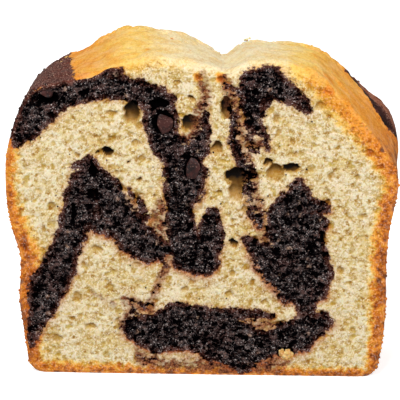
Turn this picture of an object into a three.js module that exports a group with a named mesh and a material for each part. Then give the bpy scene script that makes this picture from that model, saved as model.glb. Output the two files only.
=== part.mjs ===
import * as THREE from 'three';

// One slice of a marble loaf cake, in millimetres. X runs across the loaf, Y along it, and Z is up.
// It stands on its foot, the side that lay on the floor of the tin. The front cut face looks along -Y.

const THICKNESS = 28; // from the front cut face to the back one
const FOOT_HALF_WIDTH = 45.7; // at the top of the rounded bottom corners, where the walls start
const FOOT_RADIUS = 4.2; // of those corners, as the floor of the tin meets its walls

// Both walls lean out to a waist, and belly out over it where the batter rose and set.
// Each row is [x, z] and holds through the whole thickness.
const LEFT_WALL = [
  [-46.7, 12],
  [-47.6, 19.5],
  [-47.2, 27],
  [-47.1, 31.5],
  [-49.4, 40],
  [-50.6, 49.5],
  [-50.0, 60],
];
const RIGHT_WALL = [
  [49.9, 52],
  [49.0, 46],
  [47.8, 39.5],
  [47.2, 31],
  [47.3, 19],
  [46.6, 9.5],
];

// The crown that rose above the tin: two humps with the split between them.
// Each row is [x, z] at the front cut face and then [x, z] at the back one.
const LEFT_HUMP = [
  [-46.3, 71.5, -46.8, 70.4],
  [-43.2, 75.9, -42.5, 75.9],
  [-37.0, 77.6, -36.6, 79.5],
  [-33.0, 78.5, -33.2, 80.5],
  [-28.6, 79.7, -29.4, 83.3],
  [-22.2, 82.3, -23.2, 87.0],
  [-17.6, 83.1, -19.4, 87.9],
  [-12.0, 84.2, -13.2, 87.0],
  [-6.2, 83.7, -6.6, 86.0],
  [-0.4, 82.6, -1.6, 83.4],
];
const SPLIT = [
  [2.8, 82.0, 1.4, 81.9],
  [5.4, 80.8, 4.2, 79.8],
  [8.2, 81.8, 6.8, 81.5],
];
const RIGHT_HUMP = [
  [11.2, 83.0, 10.2, 84.1],
  [15.6, 83.9, 16.0, 83.8],
  [21.8, 83.0, 22.4, 83.7],
  [28.4, 80.6, 29.6, 82.0],
  [33.6, 75.9, 34.6, 78.2],
];
// The right shoulder swells towards the middle of the thickness. Behind that, dark batter broke
// through and set as a raised ridge. Each row is [x, z] at the front, on the swell, and on the ridge.
const SHOULDER = [
  [39.7, 69.1, 40.5, 71.2, 40.8, 71.9],
  [45.0, 62.2, 45.4, 65.0, 47.5, 66.2],
  [48.8, 56.4, 49.3, 58.4, 50.4, 57.6],
];
const RIDGE_START = 0.5; // share of the thickness where the swell ends and the ridge begins to lift
const RIDGE_END = 0.68; // and where it stands at its full height

const CROWN_POINTS = 132; // along walls and crown, from foot to foot
const CORNER_POINTS = 5; // round each bottom corner
const BASE_POINTS = 14; // across the flat base
const DEPTH_STEPS = 14; // from cut face to cut face

function smoothstep(low, high, value) {
  const t = THREE.MathUtils.clamp((value - low) / (high - low), 0, 1);
  return t * t * (3 - 2 * t);
}

// The stations of one row set at a share of the thickness, as points in the XZ plane.
function stationsAt(rows, share) {
  return rows.map(([frontX, frontZ, backX = frontX, backZ = frontZ]) => {
    const x = THREE.MathUtils.lerp(frontX, backX, share);
    const z = THREE.MathUtils.lerp(frontZ, backZ, share);
    return new THREE.Vector3(x, 0, z);
  });
}

// The right shoulder's stations: the front part swells first, and then the ridge lifts behind it.
function shoulderAt(share) {
  const swell = SHOULDER.map(([frontX, frontZ, midX, midZ]) => [frontX, frontZ, midX, midZ]);
  const ridge = SHOULDER.map(([, , midX, midZ, backX, backZ]) => [midX, midZ, backX, backZ]);
  if (share < RIDGE_START) return stationsAt(swell, share / RIDGE_START);
  return stationsAt(ridge, smoothstep(RIDGE_START, RIDGE_END, share));
}

// A bottom corner: an arc from the wall (angle 0) round to the base (angle 90 degrees).
function cornerPoint(side, angle) {
  const x = FOOT_HALF_WIDTH - FOOT_RADIUS + FOOT_RADIUS * Math.cos(angle);
  const z = FOOT_RADIUS - FOOT_RADIUS * Math.sin(angle);
  return new THREE.Vector3(side * x, 0, z);
}

// The whole outline at a share of the thickness, clockwise as seen from the front.
function outlineAt(share) {
  const crown = new THREE.CatmullRomCurve3(
    [
      cornerPoint(-1, 0),
      ...stationsAt(LEFT_WALL, share),
      ...stationsAt(LEFT_HUMP, share),
      ...stationsAt(SPLIT, share),
      ...stationsAt(RIGHT_HUMP, share),
      ...shoulderAt(share),
      ...stationsAt(RIGHT_WALL, share),
      cornerPoint(1, 0),
    ],
    false,
    'centripetal',
  );
  const points = crown.getSpacedPoints(CROWN_POINTS);
  for (let i = 1; i <= CORNER_POINTS; i += 1) {
    points.push(cornerPoint(1, (i / CORNER_POINTS) * (Math.PI / 2)));
  }
  const flatHalf = FOOT_HALF_WIDTH - FOOT_RADIUS;
  for (let i = 1; i < BASE_POINTS; i += 1) {
    points.push(new THREE.Vector3(flatHalf - (2 * flatHalf * i) / BASE_POINTS, 0, 0));
  }
  for (let i = CORNER_POINTS; i > 0; i -= 1) {
    points.push(cornerPoint(-1, (i / CORNER_POINTS) * (Math.PI / 2)));
  }
  return points;
}

// The outlines joined into one closed body: crust between neighbouring outlines, and two cut faces.
function sliceGeometry() {
  const positions = [];
  const rings = [];
  for (let step = 0; step <= DEPTH_STEPS; step += 1) {
    const share = step / DEPTH_STEPS;
    const ring = outlineAt(share);
    ring.forEach((point) => positions.push(point.x, (share - 0.5) * THICKNESS, point.z));
    rings.push(ring);
  }

  const count = rings[0].length;
  const index = [];
  for (let step = 0; step < DEPTH_STEPS; step += 1) {
    for (let i = 0; i < count; i += 1) {
      const here = step * count + i;
      const next = step * count + ((i + 1) % count);
      index.push(here, next, here + count);
      index.push(next, next + count, here + count);
    }
  }

  for (const step of [0, DEPTH_STEPS]) {
    const contour = rings[step].map((point) => new THREE.Vector2(point.x, point.z));
    for (const [a, b, c] of THREE.ShapeUtils.triangulateShape(contour, [])) {
      const first = step * count;
      const corners = step === 0 ? [a, b, c] : [a, c, b];
      index.push(...corners.map((corner) => first + corner));
    }
  }

  const geometry = new THREE.BufferGeometry();
  geometry.setAttribute('position', new THREE.Float32BufferAttribute(positions, 3));
  geometry.setIndex(index);
  return geometry;
}

// Puts the origin at the middle of the foot.
function centreOnFoot(geometry) {
  geometry.computeBoundingBox();
  const { min, max } = geometry.boundingBox;
  geometry.translate(-(min.x + max.x) / 2, -(min.y + max.y) / 2, -min.z);
  geometry.computeVertexNormals();
  return geometry;
}

// Pale yellow crumb, which the marbling and the browned crust are painted over later.
const sponge = new THREE.MeshStandardMaterial({ color: 0xe2cb9a, roughness: 0.92, metalness: 0 });

const slice = new THREE.Mesh(centreOnFoot(sliceGeometry()), sponge);
slice.name = 'cake_slice';

const cake = new THREE.Group();
cake.add(slice);

export default cake;
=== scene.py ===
import math

import bpy
import numpy as np
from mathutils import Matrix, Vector, kdtree


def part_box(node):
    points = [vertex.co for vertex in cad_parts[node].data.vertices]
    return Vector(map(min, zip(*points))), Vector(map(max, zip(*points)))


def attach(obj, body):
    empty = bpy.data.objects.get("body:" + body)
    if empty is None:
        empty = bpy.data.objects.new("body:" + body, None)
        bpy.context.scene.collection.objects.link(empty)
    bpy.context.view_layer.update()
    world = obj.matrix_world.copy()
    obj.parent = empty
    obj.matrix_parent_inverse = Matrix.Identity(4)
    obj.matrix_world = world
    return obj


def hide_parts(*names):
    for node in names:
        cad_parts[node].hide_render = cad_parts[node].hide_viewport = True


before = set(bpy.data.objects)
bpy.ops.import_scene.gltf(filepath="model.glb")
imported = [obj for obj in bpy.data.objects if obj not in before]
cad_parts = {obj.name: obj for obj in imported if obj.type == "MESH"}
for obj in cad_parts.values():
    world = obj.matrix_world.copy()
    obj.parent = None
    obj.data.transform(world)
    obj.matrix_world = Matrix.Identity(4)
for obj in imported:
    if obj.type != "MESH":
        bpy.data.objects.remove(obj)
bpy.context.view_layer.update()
MM = 0.001

# ---------------------------------------------------------------------------------------------------
# The cut of the slice.
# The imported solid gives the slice's outline at every place along the loaf. Sizes here are millimetres.
# Angles go round the middle of the cut face: 0 points to +X, and 90 degrees straight up.

FOOT, PEAK = (Vector(corner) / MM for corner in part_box("cake_slice"))
FRONT, BACK = FOOT.y, PEAK.y
THICKNESS = BACK - FRONT
MIDDLE = np.array([0.0, 42.0])
FULL_TURN = 2 * math.pi
NUDGE = 0.004  # radians either way, to find which way the skin runs


def read_outlines():
    """The solid's outlines, one for each of its rings along Y: (y, angles, distances from the middle)."""
    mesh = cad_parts["cake_slice"].data
    corners = np.empty(len(mesh.vertices) * 3, np.float32)
    mesh.vertices.foreach_get("co", corners)
    corners = np.unique(np.round(corners.reshape(-1, 3) / MM, 3), axis=0)
    outlines = []
    for y in np.unique(np.round(corners[:, 1], 1)):
        ring = corners[np.abs(corners[:, 1] - y) < 0.1]
        out = ring[:, [0, 2]] - MIDDLE
        angles = np.arctan2(out[:, 1], out[:, 0])
        order = np.argsort(angles)
        outlines.append((y, angles[order], np.hypot(*out[order].T)))
    return outlines


OUTLINES = read_outlines()


def outline_radius(angle, y):
    """How far the solid's skin is from the middle, at angles and places along Y."""
    angle = (angle + math.pi) % FULL_TURN - math.pi
    rings = np.array([np.interp(angle, turn, reach, period=FULL_TURN) for _, turn, reach in OUTLINES])
    depths = np.array([ring_y for ring_y, _, _ in OUTLINES])
    place = np.clip(np.interp(y, depths, np.arange(len(depths))), 0, len(depths) - 1.001)
    low = np.broadcast_to(place, angle.shape).astype(int)
    share = place - low
    column = np.arange(len(angle))
    return rings[low, column] * (1 - share) + rings[low + 1, column] * share


def on_outline(angle, y, inset=0.0):
    """Points x, z of the skin, or inset under it."""
    reach = outline_radius(angle, y) - inset
    return MIDDLE[0] + reach * np.cos(angle), MIDDLE[1] + reach * np.sin(angle)


def even_angles(start, end, count, y):
    """count + 1 angles from start to end that divide the outline into equal lengths."""
    fine = np.linspace(start, end, 4000)
    x, z = on_outline(fine, y)
    length = np.concatenate([[0], np.cumsum(np.hypot(np.diff(x), np.diff(z)))])
    return np.interp(np.linspace(0, length[-1], count + 1), length, fine)


def chance(cell, salt):
    """One repeatable number from 0 to 1 for each whole-numbered cell."""
    whole = cell.astype(np.int64).astype(np.uint64)
    mixed = np.full(whole.shape[:-1], salt * 0x9E3779B1 + 1, np.uint64)
    for axis, prime in zip(range(whole.shape[-1]), (0x85EBCA6B, 0xC2B2AE35, 0x27D4EB2F)):
        mixed = (mixed ^ (whole[..., axis] * np.uint64(prime))) * np.uint64(0x9E3779B97F4A7C15)
        mixed ^= mixed >> np.uint64(29)
    return (mixed >> np.uint64(20) & np.uint64(0xFFFFFF)).astype(float) / 0x1000000


def noise(points, size, salt):
    """Smooth lumps about size across, from -1 to 1."""
    grid = points / size
    cell = np.floor(grid)
    inside = grid - cell
    fade = inside**3 * (inside * (inside * 6 - 15) + 10)
    total = np.zeros(len(points))
    for corner in np.ndindex(2, 2, 2):
        turn = FULL_TURN * chance(cell + corner, salt)
        rise = 2 * chance(cell + corner, salt + 500) - 1
        flat = np.sqrt(1 - rise * rise)
        away = inside - corner
        slope = flat * (np.cos(turn) * away[:, 0] + np.sin(turn) * away[:, 1]) + rise * away[:, 2]
        total += slope * np.prod(np.where(corner, fade, 1 - fade), axis=1)
    return total * 1.7


def smooth(low, high, value):
    """0 below low, 1 above high, and a soft rise between them."""
    share = np.clip((value - low) / (high - low), 0, 1)
    return share * share * (3 - 2 * share)


def pits(flat, spacing, share, radii, salt):
    """Scattered round pits, at most one in each cell of a grid. Returns how deep each point lies, in
    radii of its pit, and the depth of that pit's floor."""
    cell = np.floor(flat / spacing)
    bowl = np.zeros(len(flat))
    floor = np.zeros(len(flat))
    for step in np.ndindex(3, 3):
        near = cell + step - 1
        jitter = np.stack([chance(near, salt + 1), chance(near, salt + 2)], axis=1)
        away = flat - (near + 0.1 + 0.8 * jitter) * spacing
        turn = FULL_TURN * chance(near, salt + 3)
        long_axis = np.cos(turn) * away[:, 0] + np.sin(turn) * away[:, 1]
        short_axis = np.cos(turn) * away[:, 1] - np.sin(turn) * away[:, 0]
        stretch = 1 + 0.7 * chance(near, salt + 4)
        radius = radii[0] + (radii[1] - radii[0]) * chance(near, salt + 5) ** 1.6
        reach = np.hypot(long_axis / stretch, short_axis * stretch**0.5) / radius
        here = np.where(chance(near, salt + 6) < share, np.clip(1 - reach**2.6, 0, 1), 0)
        floor = np.where(here > bowl, radius, floor)
        bowl = np.maximum(bowl, here)
    return bowl, floor


def skin_sink(angle, y):
    """How far the baked skin lies below the solid's own surface, in mm: humps and creases where the
    crown dried as it rose, and shallow pocks where it lay against the tin."""
    x, z = on_outline(angle, y)
    points = np.stack([x, np.broadcast_to(y, x.shape), z], axis=1)
    degrees = np.degrees(angle) % 360
    crown = smooth(20, 44, degrees) * smooth(152, 138, degrees)
    waves = 0.30 * noise(points, 7.5, 71) + 0.26 * noise(points, 3.0, 72)
    creases = 0.10 * noise(points * np.array([0.6, 1.6, 0.9]), 2.0, 73)
    ragged = 1.0 * noise(points, 2.6, 76) + 0.6 * noise(points, 1.2, 77)
    torn_edge = smooth(7, 11, points[:, 1]) * np.clip(ragged, 0, 1)
    bowl, radius = pits(np.stack([angle * 50, points[:, 1]], axis=1), 1.9, 0.4, (0.25, 0.6), 410)
    pocks = (1 - crown) * bowl * radius * 0.45
    grain = 0.08 * noise(points, 1.0, 74) + 0.05 * noise(points, 0.55, 75)
    return crown * (waves + creases + torn_edge) + pocks + grain - 0.06


def skin_points(angle, y, under=0.0):
    """Points of the baked skin, or of a layer so far under it, as rows of x, y, z."""
    x, z = on_outline(angle, y)
    ahead = np.stack(on_outline(angle + NUDGE, y), axis=1)
    run = ahead - np.stack(on_outline(angle - NUDGE, y), axis=1)
    run /= np.hypot(run[:, 0], run[:, 1])[:, None]
    sink = skin_sink(angle, y) + under
    return np.stack([x - run[:, 1] * sink, np.broadcast_to(y, x.shape), z + run[:, 0] * sink], axis=1)


# All round the outline: (angle in degrees, how brown the skin is from 0 to 1, how deep in mm the
# browning reaches into the crumb, radius in mm of the edge between skin and cut face).
BAKING = np.array([
    (-180, 0.78, 5.2, 0.5), (-167, 0.82, 6.0, 0.5), (-147, 0.85, 5.2, 0.6), (-138, 0.84, 4.6, 0.8),
    (-122, 0.84, 3.2, 0.5), (-110, 0.86, 2.6, 0.5), (-70, 0.88, 2.7, 0.5), (-42, 0.88, 3.0, 0.8),
    (-30, 0.87, 4.4, 0.5),
    (-10, 0.87, 4.8, 0.5), (9, 0.85, 4.8, 0.7), (20, 0.78, 5.0, 1.2), (30, 0.70, 5.4, 1.8),
    (38, 0.65, 5.8, 2.2), (45, 0.60, 6.0, 2.6), (52, 0.54, 5.8, 3.0), (58, 0.42, 5.0, 3.2),
    (66, 0.24, 4.4, 3.2), (75, 0.13, 4.0, 3.0), (84, 0.09, 3.0, 2.4), (92, 0.13, 3.0, 2.6),
    (100, 0.24, 3.6, 2.6), (107, 0.33, 3.6, 2.4), (114, 0.42, 3.0, 2.0), (120, 0.53, 2.0, 1.4),
    (128, 0.64, 1.2, 0.9), (136, 0.66, 1.2, 0.8), (150, 0.74, 2.6, 0.7), (165, 0.78, 3.4, 0.6),
    (180, 0.80, 3.6, 0.5),
])
CRUST_LAP = 0.8  # how far the crust shows on the cut face, in mm


def baking_at(angle):
    """Browning, its depth, and the cut edge's radius, at angles in radians."""
    degrees = (np.degrees(angle) + 180) % 360 - 180
    return (np.interp(degrees, BAKING[:, 0], BAKING[:, column]) for column in (1, 2, 3))


def edge_depth(gap, radius):
    """How far the rounded edge falls back from the cut face, so far in from the skin."""
    across = np.clip(radius - gap, 0, radius)
    return radius - np.sqrt(radius**2 - across**2)


def crust_reach(angle):
    """How far in from the skin the crust ends on the cut face."""
    _, _, radius = baking_at(angle)
    points = np.stack([np.cos(angle) * 45, np.zeros(len(angle)), np.sin(angle) * 45], axis=1)
    return np.maximum(CRUST_LAP, 0.42 * radius) * (1 + 0.35 * noise(points, 2.2, 81))


def angle_of(points):
    return np.arctan2(points[:, 2] - MIDDLE[1], points[:, 0] - MIDDLE[0])


# The cocoa batter was spooned in and drawn through with a knife, so it lies in ribbons that run on
# through the slice. Each ribbon is a line of (x, z, half width) on the front cut face.
RIBBONS = [
    # from the left wall along the shoulder
    [(-47.4, 62.0, 1.6), (-45.6, 65.4, 3.4), (-42.6, 69.4, 4.6), (-39.6, 72.4, 4.6), (-35, 74.6, 3.6),
     (-30, 76.0, 3.3), (-25, 76.8, 3.4), (-20.6, 76.8, 3.4), (-16, 75.2, 3.5), (-10.8, 73.2, 3.6)],
    [(-45.6, 70.8, 2.0), (-42.2, 74.0, 2.2), (-38, 75.8, 2.0), (-34, 77.2, 1.6), (-27, 79.8, 1.8),
     (-21.5, 80.6, 1.4)],
    # down the middle to its foot
    [(-10.5, 73.0, 3.6), (-10.7, 68, 4.4), (-9.6, 63, 4.2), (-6, 59, 4.6), (-4.4, 54, 5.9),
     (-4.9, 49.5, 5.1), (-6.2, 44.6, 3.5), (-5.6, 39.5, 4.1), (-3.6, 33.4, 5.6), (-0.2, 31.8, 4.9),
     (1.6, 36.6, 4.0), (2.2, 40.6, 3.2), (3.0, 43.4, 2.0)],
    [(0.9, 73.0, 0.5), (0.8, 70, 1.2), (0.6, 66, 1.7), (-1.0, 61, 3.4)],
    # the upturned V on the left: from its tip down to the wall, from its tip across, and what tore off it
    [(-32.6, 56.0, 1.2), (-28.8, 56.2, 2.4), (-30.2, 51.0, 4.3), (-31.2, 46.0, 4.8), (-32.7, 40.6, 4.2),
     (-35.2, 34.4, 3.9), (-37.4, 28.6, 4.7), (-40.2, 23.2, 5.0), (-42.4, 16.2, 3.2), (-43.8, 11.8, 2.2),
     (-44.8, 7.6, 0.8)],
    [(-28.0, 54.2, 3.2), (-25.2, 49.8, 4.4), (-22.6, 45.2, 4.9), (-20.0, 40.8, 4.9), (-17.4, 37.2, 4.8),
     (-14.2, 34.4, 4.5), (-11.0, 33.4, 3.2), (-8, 34.2, 2.2)],
    [(-29.6, 42.6, 2.4), (-26.4, 41.0, 2.7), (-22.4, 39.4, 2.6)],
    [(-18.8, 49.6, 1.0), (-17.0, 47.0, 1.0), (-15.2, 44.0, 1.0)],
    [(-15.8, 42.2, 1.2), (-12.4, 42.8, 0.6)],
    # the bar along the foot
    [(-17.4, 12.4, 3.7), (-12, 11.4, 5.6), (-6, 13.2, 6.7), (0, 12.3, 6.7), (6, 11.6, 6.4),
     (9.5, 9.6, 5.8), (14, 7.6, 5.0), (17.6, 8.3, 3.8), (20.6, 9.8, 4.5), (24.6, 11.0, 4.8),
     (28, 13.4, 4.4), (31, 14.8, 2.8), (33.4, 14.8, 1.4)],
    [(4, 8.4, 5.4), (9.4, 7.6, 5.6), (14, 7.0, 4.8)],
    [(5.6, 4.4, 2.0), (9.8, 2.4, 2.4), (13.4, 3.2, 1.8)],
    [(6, 16.2, 2.2), (12, 16.6, 1.3), (18, 16.5, 0.8)],
    [(-18.0, 18.2, 0.8), (-18, 15.4, 1.4)],
    [(-18.4, 20.0, 0.8), (-14.4, 18.3, 1.3)],
    [(13.0, 15.0, 0.6), (16.0, 14.1, 0.6)],
    [(-16.2, 4.3, 0.5), (-12.4, 4.1, 0.7)],
    # the block on the right, with its lobe on the left and its nub on the right
    [(25.0, 52.6, 1.2), (24.6, 49, 3.4), (23.6, 45.0, 5.6), (22.6, 41.6, 6.8), (23.9, 38, 7.3),
     (24.6, 33.6, 7.4), (26.3, 28.6, 7.4), (27.2, 25.0, 5.7), (26.4, 21.6, 3.6), (26.8, 18.6, 2.6)],
    [(11.7, 36.5, 1.5), (14.4, 34.2, 3.0), (17.2, 31.8, 4.6), (20.4, 28.6, 5.4), (23.2, 24.6, 4.9)],
    [(28, 45.8, 2.6), (31.4, 45.4, 1.8)],
    [(29.0, 42.8, 2.6), (31.0, 41.4, 1.6)],
    # the thread beside the middle, and the thin one that hangs down to the bar
    [(7.0, 73.4, 0.5), (7.8, 70.2, 1.2), (8.1, 64, 1.6), (10.2, 57.2, 1.8), (12.2, 53.4, 1.8),
     (12.0, 48, 1.5), (12.8, 44.4, 1.5), (14.8, 41.6, 1.8)],
    [(5.4, 78.4, 0.4), (7.4, 76.6, 0.9), (9.6, 75.4, 1.6)],
    [(11.4, 67.2, 1.4), (12.4, 62.6, 0.6)],
    [(10.4, 63.4, 0.6), (13.2, 60.8, 1.0)],
    [(12.4, 47.4, 1.0), (15.0, 46.9, 0.9)],
    [(-8.4, 31.4, 0.7), (-10.8, 26, 0.5), (-12.8, 21.4, 0.5), (-13.4, 18.4, 0.6)],
    # the hook under the right of the crown
    [(16.8, 61.0, 0.7), (15.7, 64.2, 1.3), (13.2, 67.6, 2.4), (12.4, 72.5, 3.0), (13.7, 77.6, 4.6),
     (17, 78.3, 4.4), (21, 75.8, 3.0), (24.6, 73.7, 2.1), (27.0, 71.0, 0.9)],
    [(16.4, 73.4, 1.5), (15.2, 70.2, 1.0)],
    [(17.6, 74.4, 0.9), (16.6, 72.6, 0.9)],
]

# Where the two batters ran together, as (x, z, half width) lines too.
BLENDED = [
    [(-11, 46, 1.2), (-11.2, 40, 1.4), (-10.6, 33, 1.2)],
    [(-16.6, 6.8, 0.7), (-15.6, 4.0, 1.6), (-11, 3.0, 1.4), (-5, 2.6, 1.2), (1, 2.9, 1.5),
     (8, 1.6, 1.3)],
    [(14, 2.6, 1.4), (18, 3.2, 1.7), (22, 4.0, 1.1)],
    [(10, 14.1, 0.9), (15, 14.1, 1.1), (19, 13.6, 0.7)],
    [(15.4, 38.4, 1.0), (18, 34.5, 0.8)],
    [(-8.4, 31.6, 1.0), (-10.8, 26, 0.6), (-12.8, 21.4, 0.6), (-13.4, 17.6, 1.0)],
    [(-19.8, 20.6, 1.2), (-17.2, 18.4, 1.6), (-20.6, 13, 1.0)],
    [(-28.4, 22.0, 0.1), (-22.6, 18.6, 0.3)],
    [(5.6, 80.0, 0.8), (6.6, 76.6, 1.2), (8.2, 70, 1.5), (9.6, 62, 1.3), (12.4, 55, 1.3), (13, 48, 1.6),
     (15, 42, 1.4)],
    [(0.2, 79.6, 0.8), (0.9, 75.0, 1.2), (-0.6, 70.6, 1.2), (-1.4, 66.0, 1.0), (-5.6, 62, 1.2),
     (-8.0, 59.5, 0.9)],
    [(-29.0, 51.0, 1.2), (-23.0, 50.4, 1.2), (-18.0, 45.4, 1.2)],
    [(13, 31, 1.0), (17, 26.5, 1.0), (21, 20.5, 1.0)],
    [(10.0, 68, 0.4), (10.4, 63.4, 0.8), (13.4, 62, 1.2), (16, 63, 0.5)],
]


def line_distance(x, z, line):
    """How far points lie from a line of varying half width: negative inside it."""
    nearest = np.full(len(x), 1e3)
    for (ax, az, a_half), (bx, bz, b_half) in zip(line, line[1:]):
        along = (x - ax) * (bx - ax) + (z - az) * (bz - az)
        share = np.clip(along / ((bx - ax) ** 2 + (bz - az) ** 2), 0, 1)
        gap = np.hypot(x - ax - share * (bx - ax), z - az - share * (bz - az))
        nearest = np.minimum(nearest, gap - a_half - share * (b_half - a_half))
    return nearest


DRIFT = 11.0  # how far the ribbons wander from the front cut face to the back one


def drifted(points):
    """The place on the front cut face that each point's ribbon comes from."""
    share = smooth(0, 1, (points[:, 1] - FRONT) / THICKNESS) * DRIFT
    x = points[:, 0] + share * (noise(points, 31, 11) + 0.25)
    z = points[:, 2] + share * (noise(points, 27, 12) - 0.1)
    return x, z


def cocoa_distance(points, ragged=1.0):
    """Distance in mm to the cocoa ribbons: negative inside them."""
    x, z = drifted(points)
    nearest = np.min([line_distance(x, z, line) for line in RIBBONS], axis=0)
    rough = 0.65 * noise(points, 3.2, 21) + 0.50 * noise(points, 1.5, 22) + 0.25 * noise(points, 0.75, 24)
    return nearest + ragged * rough


def blended_distance(points):
    """Distance in mm to where the batters ran together."""
    x, z = drifted(points)
    nearest = np.min([line_distance(x, z, line) for line in BLENDED], axis=0)
    return nearest + 0.8 * noise(points, 1.4, 23)


def srgb(red, green, blue):
    """A colour seen on a screen, 0 to 255, as the linear light that shaders use."""
    seen = np.array([red, green, blue]) / 255
    return np.where(seen <= 0.04045, seen / 12.92, ((seen + 0.055) / 1.055) ** 2.4)


# From pale crumb, through straw and gold, to the brown of the walls.
BAKE_STEPS = [0.0, 0.22, 0.42, 0.64, 0.82, 0.94, 1.1]
BAKE_COLOURS = np.array([
    srgb(237, 222, 186), srgb(243, 221, 170), srgb(247, 205, 106), srgb(243, 163, 54),
    srgb(228, 136, 48), srgb(184, 104, 46), srgb(112, 58, 28),
])
# Small places baked browner than what lies round them: x, y, z, radius, how much browner.
BAKED_SPOTS = [
    (-14.2, -5.6, 85.1, 1.3, 0.22), (-8.7, 5.0, 85.6, 0.4, 0.7), (46.0, -14.0, 61.3, 1.3, 0.45),
    (-3.6, -2.0, 84.0, 0.5, 0.5),
    (-46.4, -14.0, 45.0, 1.0, 0.24), (47.6, -13.0, 43.0, 1.6, 0.14), (46.6, -13.0, 33.4, 1.2, 0.12),
    (31.8, -8.0, 78.5, 2.6, 0.12), (-45.9, -14.0, 36.5, 1.1, 0.25), (-30.5, -12.5, 79.0, 2.4, 0.10),
    (-1.0, -14.0, 79.4, 1.9, 0.62), (4.6, -14.0, 79.6, 2.0, 0.68), (6.6, -14.0, 77.4, 1.4, 0.60),
    (32.3, -14.0, 76.5, 2.2, 0.28), (23.6, -12.0, 82.6, 1.0, 0.10), (42.4, -14.0, 60.1, 1.4, 0.14),
]


def baked_colour(points, gap, angle):
    """The colour of skin, or of crumb so far in from it, with the mottling that an oven leaves."""
    level, deep, _ = baking_at(angle)
    ragged = gap + np.clip(gap, 0, 1) * (0.9 * noise(points, 1.8, 51) + 0.7 * noise(points, 0.7, 52))
    reach = 1 - smooth(0.35, 1.35, ragged / deep)
    walls = smooth(0.70, 0.86, level)
    mottled = (0.05 + 0.08 * walls) * noise(points, 6, 31) + (0.04 + 0.12 * walls) * noise(points, 2.4, 32)
    spotted = 0.10 * noise(points, 1.2, 33) + 0.10 * noise(points, 0.5, 34)
    rim = 0.07 * walls * smooth(0.6, 0.1, gap)
    browning = (level + mottled + (0.5 + 1.5 * walls) * spotted + rim) * reach
    for x, y, z, radius, more in BAKED_SPOTS:
        away = np.linalg.norm(points - np.array([x, y, z]), axis=1) + 0.4 * noise(points, 1.3, 35)
        browning = browning + more * smooth(radius, 0.4 * radius, away)
    browning = np.clip(browning + 0.03 * noise(points, 5, 53), 0, 1.1)
    return np.stack([np.interp(browning, BAKE_STEPS, BAKE_COLOURS[:, c]) for c in range(3)], axis=1)


# ---------------------------------------------------------------------------------------------------
# The crumb: soft butter cake, torn a little by the knife, with the bubbles of its rise.
# It is one closed body: two cut faces, woven as fine grids, joined by the hidden side under the crust.

FACE_COLUMNS, FACE_ROWS = 280, 244  # the front face's grid, about 0.36 mm
BACK_COLUMNS, BACK_ROWS = 150, 130  # the back face's grid
UNDER_CRUST = 0.35  # the crumb ends this far under the skin
SKIN_SAMPLES = 1600  # places round the skin that distances are measured to
SIDE_RINGS = 6  # rings of the hidden side
SIDE_START = 3.6  # how far the first and the last of them are behind the cuts
CORNERS = [math.radians(a) for a in (-137.5, -42.5, 37, 143)]  # foot left, foot right, top right, top left

# Bubbles that the knife opened: x, z, half width, half height, how deep, and how much shade is painted
# inside them. The first two are the hollows that two chocolate chunks sit in, and the third is the dip
# under the golden crumb.
BUBBLES = [
    (-9.8, 67.6, 2.9, 3.3, 1.2, 0.85), (-2.6, 55.8, 2.3, 3.5, 1.2, 0.85),
    (21.6, 6.0, 2.9, 2.0, 1.3, 0.6), (-18.0, 70.0, 2.3, 3.5, 2.4, 0.84),
    (-24.2, 59.6, 1.7, 1.6, 2.4, 1.0), (-26.8, 59.4, 0.6, 0.6, 1.2, 0.9),
    (-3.4, 67.6, 2.3, 2.4, 2.0, 0.95), (-2.8, 74.0, 1.0, 1.0, 1.2, 0.7), (5.9, 71.4, 1.6, 3.4, 2.4, 0.9),
    (8.9, 53.4, 3.3, 2.7, 3.0, 1.0), (12.6, 53.5, 1.9, 1.4, 2.4, 1.0), (8.6, 49.6, 2.1, 2.9, 1.3, 0.66),
    (18.6, 54.8, 2.6, 2.4, 1.8, 0.64), (22.6, 56.0, 2.6, 1.4, 1.8, 1.0),
    (3.7, 61.0, 1.8, 2.0, 1.4, 0.74), (12.6, 61.8, 2.0, 1.3, 1.2, 0.6), (16.8, 57.4, 1.4, 1.2, 1.4, 0.9),
    (30.9, 38.0, 0.8, 1.6, 1.3, 0.9), (8.0, 35.8, 1.5, 1.4, 1.5, 0.9), (31.8, 47.0, 1.3, 1.1, 1.2, 0.6),
    (-16.4, 52.4, 1.1, 0.7, 1.2, 0.7), (-17.2, 47.4, 0.8, 2.2, 1.1, 0.36),
    (4.7, 79.0, 1.2, 1.0, 1.1, 0.36), (-11.0, 72.6, 3.0, 1.3, 1.7, 1.0),
    (-30.0, 75.0, 1.7, 1.0, 1.2, 1.0), (-28.0, 54.5, 1.3, 1.9, 1.5, 0.7),
    (-28.2, 48.5, 1.5, 1.4, 1.6, 0.7), (-33.2, 43.5, 0.7, 3.0, 1.3, 1.0),
    (12.5, 75.2, 2.2, 1.3, 1.3, 0.5), (11.6, 68.8, 1.4, 2.2, 1.5, 0.6),
    (-39.5, 73.8, 2.6, 2.2, 2.6, 1.0), (-19.0, 56.8, 0.5, 0.5, 1.0, 0.9),
    (-12.3, 48.1, 0.7, 0.7, 0.9, 0.6), (4.5, 49.2, 0.9, 0.8, 0.9, 0.4),
]
PALE_INSIDE = 0.36  # how much shade is painted inside the shallower ones
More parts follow.
